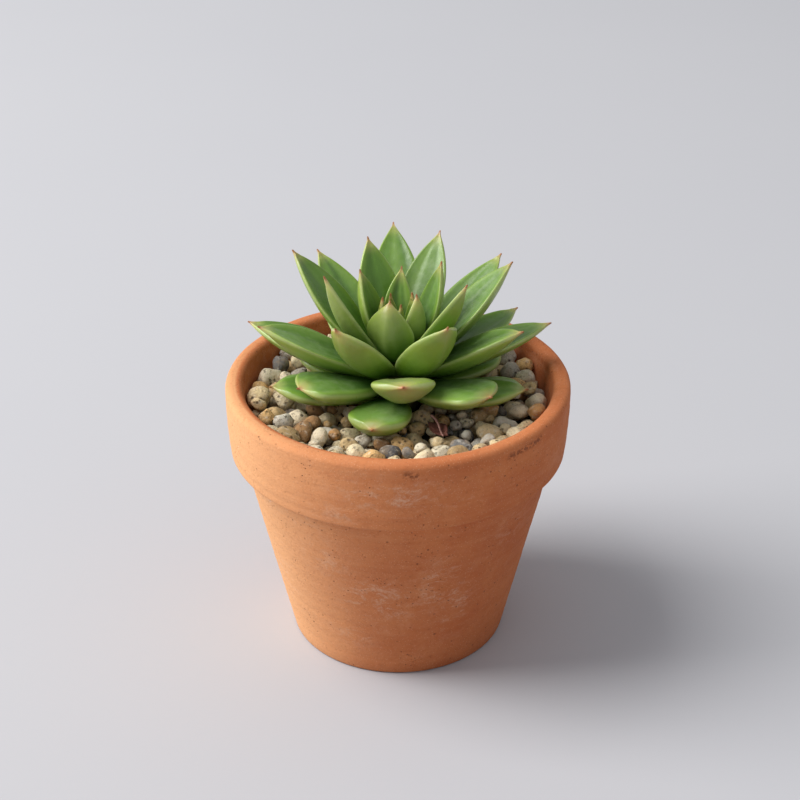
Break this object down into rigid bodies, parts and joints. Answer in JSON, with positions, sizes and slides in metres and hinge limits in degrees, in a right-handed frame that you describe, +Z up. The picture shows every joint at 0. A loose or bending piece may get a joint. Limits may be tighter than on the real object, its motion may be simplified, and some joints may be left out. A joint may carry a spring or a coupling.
{
  "type": "potted succulent",
  "caption": "Rosette succulent with pointed fleshy green leaves in a round terracotta pot with a collar, filled with soil and a top dressing of small stones.",
  "frame": {"origin": "centre of the pot's underside, on the pot's axis, in the plane it rests on", "axes": "+Z up along the pot's axis; -Y towards the front, the side that the rounded bud leaf faces; +X to the right seen from the front"},
  "size_m": [0.11, 0.11, 0.1295],
  "materials": {
    "terracotta": "unglazed orange-tan fired clay, dry and matt, with pale mineral bloom, fine pores and faint turning lines",
    "soil": "dark crumbly potting mix, matt",
    "gravel": "rough porous small stones in cream, tan, grey and brown, matt",
    "stem": "short green-brown woody stem with old leaf scars",
    "leaf": "fleshy green leaf with a soft waxy sheen, paler margins and a small red-brown tip",
    "dried_leaf": "withered red-brown leaf, dry and papery"
  },
  "bodies": {
    "root": {"pot": "terracotta", "soil": "soil", "gravel_bed": "gravel", "stem": "stem", "leaf_heart_1": "leaf", "leaf_heart_2": "leaf", "leaf_heart_3": "leaf", "leaf_heart_4": "leaf", "leaf_heart_5": "leaf", "leaf_heart_6": "leaf", "leaf_lower_1": "leaf", "leaf_lower_10": "leaf", "leaf_lower_2": "leaf", "leaf_lower_3": "leaf", "leaf_lower_4": "leaf", "leaf_lower_5": "leaf", "leaf_lower_6": "leaf", "leaf_lower_7": "leaf", "leaf_lower_8": "leaf", "leaf_lower_9": "leaf", "leaf_middle_1": "leaf", "leaf_middle_2": "leaf", "leaf_middle_3": "leaf", "leaf_middle_4": "leaf", "leaf_middle_5": "leaf", "leaf_outer_1": "leaf", "leaf_outer_2": "leaf", "leaf_outer_3": "leaf", "leaf_outer_4": "leaf", "leaf_outer_5": "leaf", "leaf_outer_6": "leaf", "leaf_outer_7": "leaf", "leaf_upper_1": "leaf", "leaf_upper_2": "leaf", "leaf_upper_3": "leaf", "leaf_upper_4": "leaf", "leaf_upper_5": "leaf", "leaf_upper_6": "leaf", "leaf_upper_7": "leaf", "leaf_upper_8": "leaf", "leaf_upper_9": "leaf", "dried_leaf": "dried_leaf"}
  },
  "joints": []
}
